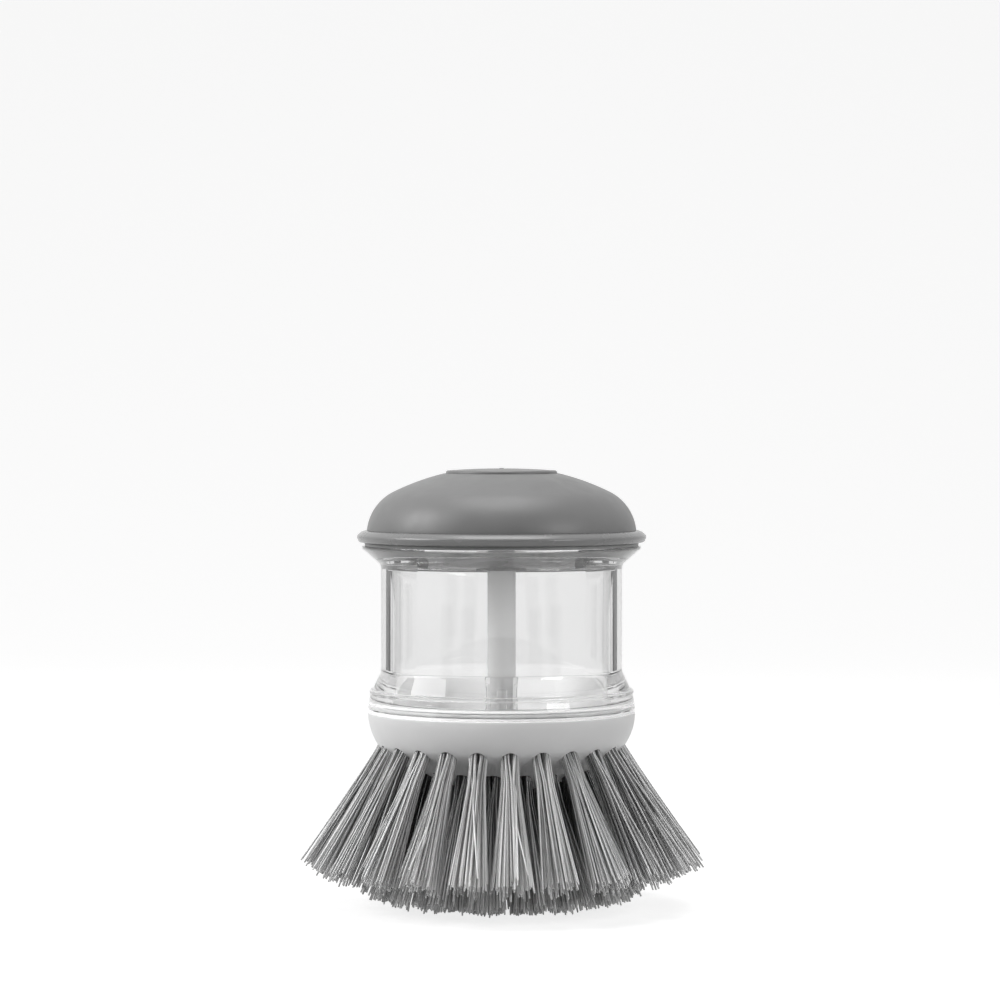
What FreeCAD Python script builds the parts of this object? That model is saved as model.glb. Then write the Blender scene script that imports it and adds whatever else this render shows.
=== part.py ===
"""A palm brush that dispenses soap: knob with push button, clear reservoir and tufted brush head.

Millimetres, +Z up. The origin lies on the brush's axis, in the plane of the lowest bristle tips.
"""
import FreeCAD, Part
import math
import os
import Sketcher
from FreeCAD import Vector

# Driving dimensions. Heights are stacked upwards from the bristle tips.
SIZES = {
    # brush head
    "stand_height": 22.4,
    "base_depth": 15.1,
    "shoulder_inset": 2.2,
    "cap_rise": 8.53,
    "floor_thickness": 9.8,
    "bowl_slope_width": 5.0,
    "bowl_slope_height": 6.4,
    "spigot_height": 1.7,
    "spigot_wall": 2.7,
    "seal_groove_height": 0.9,
    "seal_groove_depth": 0.75,
    "outlet_radius": 3.7,
    # tufts, counted from the rim to the middle
    "outer_count": 24,
    "middle_count": 18,
    "inner_count": 10,
    "ring_inset": 0.7,
    "middle_ring_share": 0.7,
    "inner_ring_share": 0.407,
    "outer_lean_angle": 28.5,
    "middle_lean_angle": 18,
    "inner_lean_angle": 8,
    "outer_tip_height": 7.8,
    "middle_tip_height": 1.6,
    "outer_tip_radius": 4.2,
    "middle_tip_radius": 3.9,
    "inner_tip_radius": 3.5,
    "lobe_count": 7,
    "valley_share": 0.72,
    "hole_radius": 1.65,
    "hole_depth_share": 0.51,
    "tuft_collar": 0.8,
    "anchor_lift": 0.8,
    "anchor_height": 1.7,
    "anchor_width": 3.7,
    "anchor_thickness": 0.4,
    "head_turn_angle": 4,
    # reservoir
    "waist_radius": 23.0,
    "reservoir_wall": 2.0,
    "bulge_width": 2.5,
    "bulge_height": 7.9,
    "belt_height": 3.9,
    "belt_inset": 0.6,
    "waist_height": 20.2,
    "flare_height": 3.1,
    "flare_width": 3.6,
    "lip_height": 0.5,
    "skirt_wall": 2.1,
    # soap valve
    "seat_radius": 4.6,
    "seat_depth": 4.0,
    "seat_flange_radius": 6.2,
    "seat_flange_height": 1.2,
    "stopper_radius": 3.2,
    "stopper_land_height": 2.2,
    "stopper_land_lift": 0.2,
    "stopper_height": 15,
    "stopper_floor": 1.6,
    "flute_radius": 1.1,
    "flute_count": 4,
    "pin_radius": 1.6,
    # quick-turn lid
    "gasket_thickness": 0.7,
    "gasket_inset": 0.5,
    "rim_overhang": 1.1,
    "rim_thickness": 2.2,
    "rim_top_round": 0.9,
    "rim_under_round": 0.4,
    "hook_count": 3,
    "hook_angle": 26,
    "hook_relief": 0.9,
    "hook_depth": 3.4,
    "hook_wall": 1.6,
    "lug_width": 0.65,
    "lug_height": 0.8,
    "lug_lift": 0.3,
    "lock_turn_angle": 90,
    "guide_wall": 0.8,
    "guide_depth": 3.0,
    "guide_height": 3.0,
    "rod_seal_width": 1.4,
    "rod_seal_lift": 0.8,
    "upstand_height": 2.6,
    "upstand_wall": 1.4,
    # knob
    "rim_step": 2.0,
    "dome_height": 12.2,
    "dome_shoulder": 9.2,
    "dome_tuck": 0.85,
    "dome_wall": 2.0,
    # push button and rod
    "button_radius": 10.6,
    "button_rise": 0.5,
    "button_crown": 0.4,
    "button_round": 0.4,
    "button_top_wall": 1.8,
    "button_skirt_wall": 1.3,
    "button_flange_width": 1.6,
    "button_flange_height": 1.2,
    "socket_wall": 1.5,
    "socket_roof": 1.2,
    "rod_radius": 2.7,
    # return spring
    "wire_radius": 0.4,
    "spring_turn_count": 6,
    # clearances
    "fit_gap": 0.1,
    "seal_gap": 0.05,
    "slide_gap": 0.25,
    "cut_overrun": 2.0,
}

FULL_TURN = 360
HALF_SHARE = 0.5


class Size:
    """A size of the sheet, or sums and products of them: its text in the document and its value."""

    def __init__(self, text, value):
        self.text = text
        self.value = value

    def _join(self, sign, other, value):
        return Size(f"({self.text} {sign} {other.text})", value)

    def __add__(self, other):
        other = as_size(other)
        return self._join("+", other, self.value + other.value)

    def __sub__(self, other):
        other = as_size(other)
        return self._join("-", other, self.value - other.value)

    def __mul__(self, other):
        other = as_size(other)
        return self._join("*", other, self.value * other.value)

    def __truediv__(self, other):
        other = as_size(other)
        return self._join("/", other, self.value / other.value)

    def __neg__(self):
        return ZERO - self


def as_size(number):
    """A plain count or share as a Size; a Size stays as it is."""
    return number if isinstance(number, Size) else Size(str(number), float(number))


def root(size):
    """The square root of a size."""
    return Size(f"sqrt({size.text})", math.sqrt(size.value))


def sine(angle):
    """The sine of an angle in degrees."""
    return Size(f"sin({angle.text} * 1 deg)", math.sin(math.radians(angle.value)))


def cosine(angle):
    """The cosine of an angle in degrees."""
    return Size(f"cos({angle.text} * 1 deg)", math.cos(math.radians(angle.value)))


def leg(long_side, short_side):
    """The third side of a right triangle."""
    return root(long_side * long_side - short_side * short_side)


class Sheet:
    """Reads each size of the sheet by its name."""

    def __getattr__(self, alias):
        return Size(f"Sizes.{alias}", float(SIZES[alias]))


ZERO = as_size(0)
d = Sheet()
doc = FreeCAD.newDocument("palm_brush")
cells = doc.addObject("Spreadsheet::Sheet", "Sizes")
for row, (alias, number) in enumerate(SIZES.items(), start=1):
    cells.set(f"A{row}", alias)
    cells.set(f"B{row}", str(number))
    cells.setAlias(f"B{row}", alias)
doc.recompute()


def named(alias, size):
    """Keep a size that follows from others in a row of its own in the sheet."""
    row = len(SIZES) + 1
    SIZES[alias] = size.value
    cells.set(f"A{row}", alias)
    cells.set(f"B{row}", "=" + size.text.replace("Sizes.", ""))
    cells.setAlias(f"B{row}", alias)
    return Size(f"Sizes.{alias}", size.value)


def bind(target, prop, size):
    """Bind a property to the sheet."""
    target.setExpression(prop, size.text)


def new_body(label, height=ZERO, turn=None):
    """An empty body at its height on the axis, turned about the axis where asked."""
    body = doc.addObject("PartDesign::Body", label)
    body.Label = label
    body.AllowCompound = True
    bind(body, "Placement.Base.z", height)
    if turn is not None:
        body.Placement.Rotation.Axis = Vector(0, 0, 1)
        bind(body, "Placement.Rotation.Angle", turn)
    return body


def origin_part(body, role):
    """One of the body's own origin planes or axes."""
    return next(part for part in body.Origin.OriginFeatures if part.Role == role)


def new_sketch(body, name, role="XZ_Plane", offset=None):
    """A sketch on one of the body's origin planes, lifted along its normal where asked."""
    sketch = body.newObject("Sketcher::SketchObject", name)
    sketch.AttachmentSupport = [(origin_part(body, role), "")]
    sketch.MapMode = "FlatFace"
    if offset is not None:
        bind(sketch, "AttachmentOffset.Base.z", offset)
    return sketch


def pin_point(sketch, geometry, end, point):
    """Hold one point of the sketch at its two named distances from the origin."""
    for kind, axis, size in (("DistanceX", -2, point[0]), ("DistanceY", -1, point[1])):
        if size is ZERO:
            sketch.addConstraint(Sketcher.Constraint("PointOnObject", geometry, end, axis))
            continue
        index = sketch.addConstraint(Sketcher.Constraint(kind, -1, 1, geometry, end, size.value))
        bind(sketch, f"Constraints[{index}]", size)


def arc_between(start, finish, radius, side):
    """An arc of under a half circle that bulges to the left (1) or right (-1) of the way it runs."""
    chord = finish - start
    across = Vector(-chord.y, chord.x, 0).normalize()
    sagitta = math.sqrt(radius ** 2 - (chord.Length / 2) ** 2)
    centre = (start + finish) / 2 - across * side * sagitta
    first, last = (start, finish) if side < 0 else (finish, start)
    angles = [math.atan2(point.y - centre.y, point.x - centre.x) for point in (first, last)]
    return Part.ArcOfCircle(Part.Circle(centre, Vector(0, 0, 1), radius), *angles)


def outline(sketch, points, arcs=None):
    """A closed outline through named points; arcs maps an edge's number to its radius and side."""
    arcs = arcs or {}
    places = [Vector(x.value, y.value, 0) for x, y in points]
    ends = []
    for number, start in enumerate(places):
        finish = places[(number + 1) % len(places)]
        if number in arcs:
            radius, side = arcs[number]
            edge = sketch.addGeometry(arc_between(start, finish, radius.value, side), False)
            index = sketch.addConstraint(Sketcher.Constraint("Radius", edge, radius.value))
            bind(sketch, f"Constraints[{index}]", radius)
            ends.append((edge, 1, 2) if side < 0 else (edge, 2, 1))
        else:
            edge = sketch.addGeometry(Part.LineSegment(start, finish), False)
            ends.append((edge, 1, 2))
    for number, (edge, tail, head) in enumerate(ends):
        after, after_tail, _ = ends[(number + 1) % len(ends)]
        sketch.addConstraint(Sketcher.Constraint("Coincident", edge, head, after, after_tail))
        pin_point(sketch, edge, tail, points[number])


def axis_line(sketch, start, finish):
    """A construction line that a profile turns about."""
    ends = [Vector(x.value, y.value, 0) for x, y in (start, finish)]
    line = sketch.addGeometry(Part.LineSegment(*ends), True)
    pin_point(sketch, line, 1, start)
    pin_point(sketch, line, 2, finish)


def circle(sketch, centre_x, radius):
    """A circle on the sketch's own X axis."""
    centre = Vector(centre_x.value, 0, 0)
    ring = sketch.addGeometry(Part.Circle(centre, Vector(0, 0, 1), radius.value), False)
    pin_point(sketch, ring, 3, (centre_x, ZERO))
    index = sketch.addConstraint(Sketcher.Constraint("Radius", ring, radius.value))
    bind(sketch, f"Constraints[{index}]", radius)


def turned(body, name, points, arcs=None, axis=None, cut=False):
    """A profile turned about the body's axis, or about a line of its own; it adds or cuts."""
    sketch = new_sketch(body, f"{name}_profile")
    outline(sketch, points, arcs)
    if axis is not None:
        axis_line(sketch, *axis)
    feature = body.newObject("PartDesign::Groove" if cut else "PartDesign::Revolution", name)
    feature.Profile = sketch
    feature.ReferenceAxis = (sketch, ["V_Axis" if axis is None else "Axis0"])
    feature.Angle = FULL_TURN
    return feature


def slab(body, name, points, width, cut=False):
    """An outline given a width to both sides of its plane; it adds or cuts."""
    sketch = new_sketch(body, f"{name}_outline")
    outline(sketch, points)
    feature = body.newObject("PartDesign::Pocket" if cut else "PartDesign::Pad", name)
    feature.Profile = sketch
    feature.Midplane = True
    bind(feature, "Length", width)
    return feature


def around(body, name, features, count):
    """Copies of the features, evenly spaced about the body's axis."""
    pattern = body.newObject("PartDesign::PolarPattern", name)
    pattern.Originals = features
    pattern.Axis = (origin_part(body, "Z_Axis"), [""])
    pattern.Angle = FULL_TURN
    bind(pattern, "Occurrences", count)
    body.Tip = pattern


def lock_ring(body, name, points):
    """The hooks or catches of the quick-turn lock: a profile turned a short way, evenly spaced."""
    sketch = new_sketch(body, f"{name}_profile")
    outline(sketch, points)
    stretch = body.newObject("PartDesign::Revolution", name)
    stretch.Profile = sketch
    stretch.ReferenceAxis = (sketch, ["V_Axis"])
    stretch.Midplane = True
    bind(stretch, "Angle", d.hook_angle)
    around(body, f"{name}_ring", [stretch], d.hook_count)


def o_ring(label, ring_radius, section_radius, height):
    """A round seal."""
    ring = doc.addObject("Part::Torus", label)
    ring.Label = label
    bind(ring, "Radius1", ring_radius)
    bind(ring, "Radius2", section_radius)
    bind(ring, "Placement.Base.z", height)
    return ring


# Levels above the bristle tips
LEDGE = d.stand_height + d.base_depth
FLOOR = d.stand_height + d.floor_thickness
RESERVOIR_HEIGHT = d.bulge_height + d.waist_height + d.flare_height + d.lip_height
RIM_UNDER = LEDGE + RESERVOIR_HEIGHT + d.gasket_thickness
RIM_TOP = RIM_UNDER + d.rim_thickness


def side_arc(rise, inset):
    """Radius of an arc that starts upright and moves inwards by the inset over the rise."""
    return (rise * rise + inset * inset) / (inset * 2)


# Radii and depths that several pieces share, all carried by the waist and named offsets from it
BORE = named("bore_radius", d.waist_radius - d.reservoir_wall)
BASE = named("base_radius", d.waist_radius + d.bulge_width)
SHOULDER = named("shoulder_radius", BASE - d.shoulder_inset)
CAP = named("cap_radius", side_arc(SHOULDER, d.cap_rise))
SKIRT_BORE = named("skirt_bore_radius", BASE - d.skirt_wall)
SPIGOT = named("spigot_radius", SKIRT_BORE - d.fit_gap)
BOWL = named("bowl_radius", SPIGOT - d.spigot_wall)
HOLE_DEPTH = named("hole_depth", d.floor_thickness * d.hole_depth_share)
SLOT = named("anchor_slot_width", d.anchor_thickness + d.seal_gap * 2)
OUTER_RING = named("outer_ring_radius", SHOULDER - d.ring_inset)
MIDDLE_RING = named("middle_ring_radius", OUTER_RING * d.middle_ring_share)
INNER_RING = named("inner_ring_radius", OUTER_RING * d.inner_ring_share)
MOUTH = named("mouth_radius", d.waist_radius + d.flare_width)
RIM = named("rim_radius", MOUTH + d.rim_overhang)
DOME_FOOT = named("dome_radius", RIM - d.rim_step)
FLARE_LOW = named("flare_low_height", d.bulge_height + d.waist_height)
HOOK = named("hook_radius", BORE - d.hook_relief)
ROD_BORE = named("rod_bore_radius", d.rod_radius + d.slide_gap / 2)
ROD_GROOVE = named("rod_groove_radius", d.rod_radius + d.rod_seal_width)
GUIDE = named("guide_radius", ROD_GROOVE + d.guide_wall)
BUTTON_SKIRT = named("button_skirt_radius", d.button_radius - d.button_skirt_wall)
SPRING = named("spring_radius", (GUIDE + BUTTON_SKIRT) / 2)
LUG_LOW = named("lug_low_height", d.lug_lift - d.hook_depth)
LUG_TOP = named("lug_top_height", LUG_LOW + d.lug_height)


def cap_height(radius):
    """Height of the domed underside at a radius, measured from the ledge."""
    return CAP - d.base_depth - leg(CAP, radius)


class Ring:
    """One ring of tufts: its places along and across the leaning axis of the first tuft."""

    def __init__(self, name, count, radius, lean, tip_radius, reach):
        self.name = name
        self.count = count
        self.tip_radius = tip_radius
        self.lean = lean
        self.mouth = (radius, cap_height(radius))
        self.length = (self.mouth[1] + LEDGE - reach) / cosine(lean)

    def at(self, along, across):
        """The point at a distance along the axis, down from the mouth, and across it, outwards."""
        x = self.mouth[0] + along * sine(self.lean) + across * cosine(self.lean)
        z = self.mouth[1] - along * cosine(self.lean) + across * sine(self.lean)
        return x, z

    def axis(self):
        """The two ends of the axis within the hole."""
        return self.at(-HOLE_DEPTH, ZERO), self.at(d.cut_overrun, ZERO)

    def anchor_outline(self, gap):
        """The anchor's section near the bottom of the hole, grown by a gap."""
        low = d.anchor_lift - HOLE_DEPTH - gap
        high = low + d.anchor_height + gap * 2
        half = d.anchor_width / 2 + gap
        return [self.at(low, -half), self.at(low, half), self.at(high, half), self.at(high, -half)]


RINGS = [
    Ring("outer", d.outer_count, OUTER_RING, d.outer_lean_angle, d.outer_tip_radius, d.outer_tip_height),
    Ring("middle", d.middle_count, MIDDLE_RING, d.middle_lean_angle, d.middle_tip_radius,
         d.middle_tip_height),
    Ring("inner", d.inner_count, INNER_RING, d.inner_lean_angle, d.inner_tip_radius, ZERO),
]


def make_base_block():
    """The white brush head: a bowl with a domed underside, a spigot, an outlet and the tuft holes."""
    body = new_body("base_block", LEDGE, d.head_turn_angle)
    floor = d.floor_thickness - d.base_depth
    seat_bore = d.seat_radius + d.fit_gap
    groove_low = (d.spigot_height - d.seal_groove_height) / 2
    groove_radius = SPIGOT - d.seal_groove_depth
    shoulder = cap_height(SHOULDER)
    points = [
        (d.outlet_radius, cap_height(d.outlet_radius)),
        (SHOULDER, shoulder),
        (BASE, ZERO),
        (SPIGOT, ZERO),
        (SPIGOT, groove_low),
        (groove_radius, groove_low),
        (groove_radius, groove_low + d.seal_groove_height),
        (SPIGOT, groove_low + d.seal_groove_height),
        (SPIGOT, d.spigot_height),
        (BOWL, d.spigot_height),
        (BOWL, floor + d.bowl_slope_height),
        (BOWL - d.bowl_slope_width, floor),
        (seat_bore, floor),
        (seat_bore, floor - d.seat_depth),
        (d.outlet_radius, floor - d.seat_depth),
    ]
    side = side_arc(-shoulder, d.shoulder_inset)
    turned(body, "bowl", points, {0: (CAP, -1), 1: (side, -1)})
    for ring in RINGS:
        hole_points = [
            ring.at(-HOLE_DEPTH, ZERO),
            ring.at(-HOLE_DEPTH, d.hole_radius),
            ring.at(d.cut_overrun, d.hole_radius),
            ring.at(d.cut_overrun, ZERO),
        ]
        hole = turned(body, f"{ring.name}_hole", hole_points, axis=ring.axis(), cut=True)
        notch = slab(body, f"{ring.name}_notch", ring.anchor_outline(d.seal_gap), SLOT, cut=True)
        around(body, f"{ring.name}_holes", [hole, notch], ring.count)
    return body


def lobed_section(body, name, ring, along, radius):
    """A section square to a tuft's axis, where the filaments bunch into lobes with valleys between."""
    sketch = new_sketch(body, name, "XY_Plane")
    x, z = ring.at(along, ZERO)
    tilt = FreeCAD.Rotation(Vector(0, -1, 0), ring.lean.value)
    sketch.AttachmentOffset = FreeCAD.Placement(Vector(), tilt)
    bind(sketch, "AttachmentOffset.Base.x", x)
    bind(sketch, "AttachmentOffset.Base.z", z)
    bind(sketch, "AttachmentOffset.Rotation.Angle", ring.lean)
    corner_count = d.lobe_count * 2
    points = []
    for corner in range(round(corner_count.value)):
        turn = as_size(FULL_TURN) * (corner + HALF_SHARE) / corner_count
        reach = radius * d.valley_share if corner % 2 else radius
        points.append((reach * cosine(turn), reach * sine(turn)))
    outline(sketch, points)
    return sketch


def make_tufts(ring):
    """One ring of tufts, each folded round its anchor and fanned out in lobes towards the tip."""
    body = new_body(f"{ring.name}_tufts", LEDGE, d.head_turn_angle)
    root_radius = d.hole_radius - d.fit_gap
    trimmed = ring.name == "inner"
    length = ring.length + d.cut_overrun if trimmed else ring.length
    points = [
        ring.at(d.fit_gap - HOLE_DEPTH, ZERO),
        ring.at(d.fit_gap - HOLE_DEPTH, root_radius),
        ring.at(d.tuft_collar, root_radius),
        ring.at(d.tuft_collar, ZERO),
    ]
    fold = turned(body, f"{ring.name}_fold", points, axis=ring.axis())
    fan = body.newObject("PartDesign::AdditiveLoft", f"{ring.name}_fan")
    fan.Profile = lobed_section(body, f"{ring.name}_collar", ring, ZERO, root_radius)
    fan.Sections = [lobed_section(body, f"{ring.name}_tip", ring, length, ring.tip_radius)]
    fan.Ruled = True
    slot = slab(body, f"{ring.name}_slot", ring.anchor_outline(d.seal_gap), SLOT, cut=True)
    around(body, f"{ring.name}_ring", [fold, fan, slot], ring.count)
    if trimmed:
        sketch = new_sketch(body, "trim_outline", "XY_Plane", -LEDGE)
        circle(sketch, ZERO, BASE)
        trim = body.newObject("PartDesign::Pocket", "trim")
        trim.Profile = sketch
        bind(trim, "Length", d.cut_overrun * 3)
    return body


def make_anchors(ring):
    """The flat metal anchors that hold one ring of tufts in their holes."""
    body = new_body(f"{ring.name}_anchors", LEDGE, d.head_turn_angle)
    anchor = slab(body, f"{ring.name}_anchor", ring.anchor_outline(ZERO), d.anchor_thickness)
    around(body, f"{ring.name}_anchor_ring", [anchor], ring.count)
    return body


def make_base_seal():
    """The round seal in the spigot's groove."""
    room = (SKIRT_BORE - SPIGOT + d.seal_groove_depth) / 2
    return o_ring("base_seal", SKIRT_BORE - room, room - d.seal_gap, LEDGE + d.spigot_height / 2)


def make_reservoir():
    """The clear spool-shaped tube, open at both ends, with the catches that hold the lid's hooks."""
    body = new_body("reservoir", LEDGE, d.lock_turn_angle)
    points = [
        (SKIRT_BORE, ZERO),
        (BASE, ZERO),
        (BASE - d.belt_inset, d.belt_height),
        (d.waist_radius, d.bulge_height),
        (d.waist_radius, FLARE_LOW),
        (MOUTH, FLARE_LOW + d.flare_height),
        (MOUTH, RESERVOIR_HEIGHT),
        (BORE, RESERVOIR_HEIGHT),
        (BORE, d.spigot_height + d.fit_gap),
        (SKIRT_BORE, d.spigot_height + d.fit_gap),
    ]
    turned(body, "spool", points, {1: (side_arc(d.belt_height, d.belt_inset), -1)})
    low = RESERVOIR_HEIGHT + d.gasket_thickness + LUG_TOP + d.fit_gap
    high = low + d.lug_height
    inner = BORE - d.lug_width
    mid_wall = (BORE + d.waist_radius) / 2
    lock_ring(body, "catch", [(inner, low), (mid_wall, low), (mid_wall, high), (inner, high)])
    return body


def make_valve_seat():
    """The soft bush in the floor of the bowl that the stopper closes."""
    body = new_body("valve_seat", FLOOR)
    bore = d.stopper_radius + d.fit_gap
    points = [
        (bore, -d.seat_depth),
        (d.seat_radius, -d.seat_depth),
        (d.seat_radius, ZERO),
        (d.seat_flange_radius, ZERO),
        (d.seat_flange_radius, d.seat_flange_height),
        (bore, d.seat_flange_height),
    ]
    turned(body, "bush", points)
    return body


STOPPER_LOW = d.stopper_land_lift - d.seat_depth
STOPPER_TOP = STOPPER_LOW + d.stopper_height


def make_valve_stopper():
    """The soft sleeve on the rod's pin: a full land that seals, and flutes above it that let soap by."""
    body = new_body("valve_stopper", FLOOR)
    socket = d.pin_radius + d.seal_gap
    points = [
        (ZERO, STOPPER_LOW),
        (d.stopper_radius, STOPPER_LOW),
        (d.stopper_radius, STOPPER_TOP),
        (socket, STOPPER_TOP),
        (socket, STOPPER_LOW + d.stopper_floor),
        (ZERO, STOPPER_LOW + d.stopper_floor),
    ]
    turned(body, "sleeve", points)
    sketch = new_sketch(body, "flute_outline", "XY_Plane", STOPPER_LOW + d.stopper_land_height)
    circle(sketch, d.stopper_radius + d.flute_radius / 4, d.flute_radius)
    flute = body.newObject("PartDesign::Pocket", "flute")
    flute.Profile = sketch
    flute.Reversed = True
    bind(flute, "Length", d.stopper_height)
    around(body, "flutes", [flute], d.flute_count)
    return body


def make_lid_gasket():
    """The flat seal between the lid's rim and the reservoir's mouth."""
    body = new_body("lid_gasket", LEDGE + RESERVOIR_HEIGHT)
    inner = BORE + d.gasket_inset
    outer = MOUTH - d.gasket_inset
    points = [
        (inner, ZERO),
        (outer, ZERO),
        (outer, d.gasket_thickness),
        (inner, d.gasket_thickness),
    ]
    turned(body, "washer", points)
    return body


class Dome:
    """The knob's section: a shoulder arc that runs smoothly into a crown arc, both above the rim."""

    def __init__(self):
        self.centre_x = DOME_FOOT - leg(d.dome_shoulder, d.dome_tuck)
        rise = d.dome_height + d.dome_tuck
        spread = self.centre_x * self.centre_x + rise * rise - d.dome_shoulder * d.dome_shoulder
        self.crown = spread / ((rise - d.dome_shoulder) * 2)
        self.crown_centre = d.dome_height - self.crown

    def foot(self, wall):
        """Radius at the rim, a wall's thickness in from the outside."""
        return self.centre_x + leg(d.dome_shoulder - wall, d.dome_tuck)

    def side(self, wall, height):
        """Radius at a height within the shoulder arc."""
        return self.centre_x + leg(d.dome_shoulder - wall, d.dome_tuck + height)

    def joint(self, wall):
        """Where the two arcs meet."""
        share = (self.crown - wall) / (self.crown - d.dome_shoulder)
        x = self.centre_x * share
        z = self.crown_centre + (-d.dome_tuck - self.crown_centre) * share
        return x, z

    def top(self, wall, radius):
        """Height at a radius within the crown arc."""
        return self.crown_centre + leg(self.crown - wall, radius)


DOME = Dome()
BUTTON_HOLE = d.button_radius + d.slide_gap
FLANGE_RADIUS = d.button_radius + d.button_flange_width
FLANGE_TOP = DOME.top(d.dome_wall, FLANGE_RADIUS) - d.slide_gap
FLANGE_UNDER = FLANGE_TOP - d.button_flange_height
BUTTON_EDGE = DOME.top(ZERO, BUTTON_HOLE) + d.button_rise
BUTTON_INSIDE = BUTTON_EDGE - d.button_top_wall
SOCKET = d.rod_radius + d.seal_gap
SOCKET_TOP = BUTTON_EDGE - d.socket_roof


def make_lid():
    """The lid: rounded rim, hooks of the lock, guide for the rod and the upstand that centres the knob."""
    body = new_body("lid", RIM_UNDER, d.lock_turn_angle)
    seal_low = d.rod_seal_lift - d.guide_depth
    upstand = DOME.side(d.dome_wall, d.upstand_height) - d.fit_gap
    points = [
        (ROD_BORE, -d.guide_depth),
        (GUIDE, -d.guide_depth),
        (GUIDE, ZERO),
        (RIM - d.rim_under_round, ZERO),
        (RIM, d.rim_under_round),
        (RIM, d.rim_thickness - d.rim_top_round),
        (RIM - d.rim_top_round, d.rim_thickness),
        (upstand, d.rim_thickness),
        (upstand, d.rim_thickness + d.upstand_height),
        (upstand - d.upstand_wall, d.rim_thickness + d.upstand_height),
        (upstand - d.upstand_wall, d.rim_thickness),
        (GUIDE, d.rim_thickness),
        (GUIDE, d.rim_thickness + d.guide_height),
        (ROD_BORE, d.rim_thickness + d.guide_height),
        (ROD_BORE, seal_low + d.rod_seal_width),
        (ROD_GROOVE, seal_low + d.rod_seal_width),
        (ROD_GROOVE, seal_low),
        (ROD_BORE, seal_low),
    ]
    turned(body, "plate", points, {3: (d.rim_under_round, -1), 5: (d.rim_top_round, -1)})
    hook_points = [
        (HOOK - d.hook_wall, -d.hook_depth),
        (HOOK, -d.hook_depth),
        (HOOK + d.lug_width, LUG_LOW),
        (HOOK + d.lug_width, LUG_TOP),
        (HOOK, LUG_TOP),
        (HOOK, d.rim_thickness / 2),
        (HOOK - d.hook_wall, d.rim_thickness / 2),
    ]
    lock_ring(body, "hook", hook_points)
    return body


def make_rod_seal():
    """The round seal that wipes the rod, in the guide's groove."""
    room = d.rod_seal_width / 2
    height = RIM_UNDER + d.rod_seal_lift - d.guide_depth + room
    return o_ring("rod_seal", d.rod_radius + room, room - d.seal_gap, height)


def make_knob_shell():
    """The domed knob, with the hole that the button moves in."""
    body = new_body("knob_shell", RIM_TOP)
    points = [
        (DOME_FOOT, ZERO),
        DOME.joint(ZERO),
        (BUTTON_HOLE, DOME.top(ZERO, BUTTON_HOLE)),
        (BUTTON_HOLE, DOME.top(d.dome_wall, BUTTON_HOLE)),
        DOME.joint(d.dome_wall),
        (DOME.foot(d.dome_wall), ZERO),
    ]
    arcs = {
        0: (d.dome_shoulder, -1),
        1: (DOME.crown, -1),
        3: (DOME.crown - d.dome_wall, 1),
        4: (d.dome_shoulder - d.dome_wall, 1),
    }
    turned(body, "dome", points, arcs)
    return body


def make_push_button():
    """The crowned button, with the flange that keeps it in and the socket for the rod."""
    body = new_body("push_button", RIM_TOP)
    crown_edge = d.button_radius - d.button_round
    points = [
        (ZERO, BUTTON_EDGE + d.button_crown),
        (ZERO, SOCKET_TOP),
        (SOCKET, SOCKET_TOP),
        (SOCKET, FLANGE_UNDER),
        (SOCKET + d.socket_wall, FLANGE_UNDER),
        (SOCKET + d.socket_wall, BUTTON_INSIDE),
        (BUTTON_SKIRT, BUTTON_INSIDE),
        (BUTTON_SKIRT, FLANGE_UNDER),
        (FLANGE_RADIUS, FLANGE_UNDER),
        (FLANGE_RADIUS, FLANGE_TOP),
        (d.button_radius, FLANGE_TOP),
        (d.button_radius, BUTTON_EDGE - d.button_round),
        (crown_edge, BUTTON_EDGE),
    ]
    arcs = {11: (d.button_round, -1), 12: (side_arc(crown_edge, d.button_crown), -1)}
    turned(body, "button", points, arcs)
    return body


def make_push_rod():
    """The rod from the button's socket down to the stopper, with a thinner pin inside the stopper."""
    shoulder = FLOOR + STOPPER_TOP
    body = new_body("push_rod", shoulder)
    top = RIM_TOP + SOCKET_TOP - shoulder - d.seal_gap
    pin_end = d.stopper_floor - d.stopper_height + d.seal_gap
    points = [
        (ZERO, pin_end),
        (d.pin_radius, pin_end),
        (d.pin_radius, ZERO),
        (d.rod_radius, ZERO),
        (d.rod_radius, top),
        (ZERO, top),
    ]
    turned(body, "rod", points)
    return body


def make_return_spring():
    """The wound spring between the lid and the underside of the button."""
    body = new_body("return_spring", RIM_TOP)
    low = d.wire_radius + d.seal_gap
    high = BUTTON_INSIDE - low
    sketch = new_sketch(body, "wire_section")
    wire = sketch.addGeometry(
        Part.Circle(Vector(SPRING.value, low.value, 0), Vector(0, 0, 1), d.wire_radius.value), False)
    pin_point(sketch, wire, 3, (SPRING, low))
    index = sketch.addConstraint(Sketcher.Constraint("Radius", wire, d.wire_radius.value))
    bind(sketch, f"Constraints[{index}]", d.wire_radius)
    coil = body.newObject("PartDesign::AdditiveHelix", "coil")
    coil.Profile = sketch
    coil.ReferenceAxis = (sketch, ["V_Axis"])
    coil.Mode = "pitch-height-angle"
    bind(coil, "Height", high - low)
    bind(coil, "Pitch", (high - low) / d.spring_turn_count)
    gap = (high.value - low.value) / d.spring_turn_count.value - d.wire_radius.value * 2
    print("least gap between the spring's turns:", round(gap, 2))
    return body


pieces = [
    make_base_block(),
    make_base_seal(),
    make_valve_seat(),
    make_reservoir(),
    make_lid_gasket(),
    make_lid(),
    make_rod_seal(),
    make_knob_shell(),
    make_return_spring(),
    make_push_button(),
    make_push_rod(),
    make_valve_stopper(),
]
for ring in RINGS:
    pieces.append(make_tufts(ring))
    pieces.append(make_anchors(ring))
doc.recompute()

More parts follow.
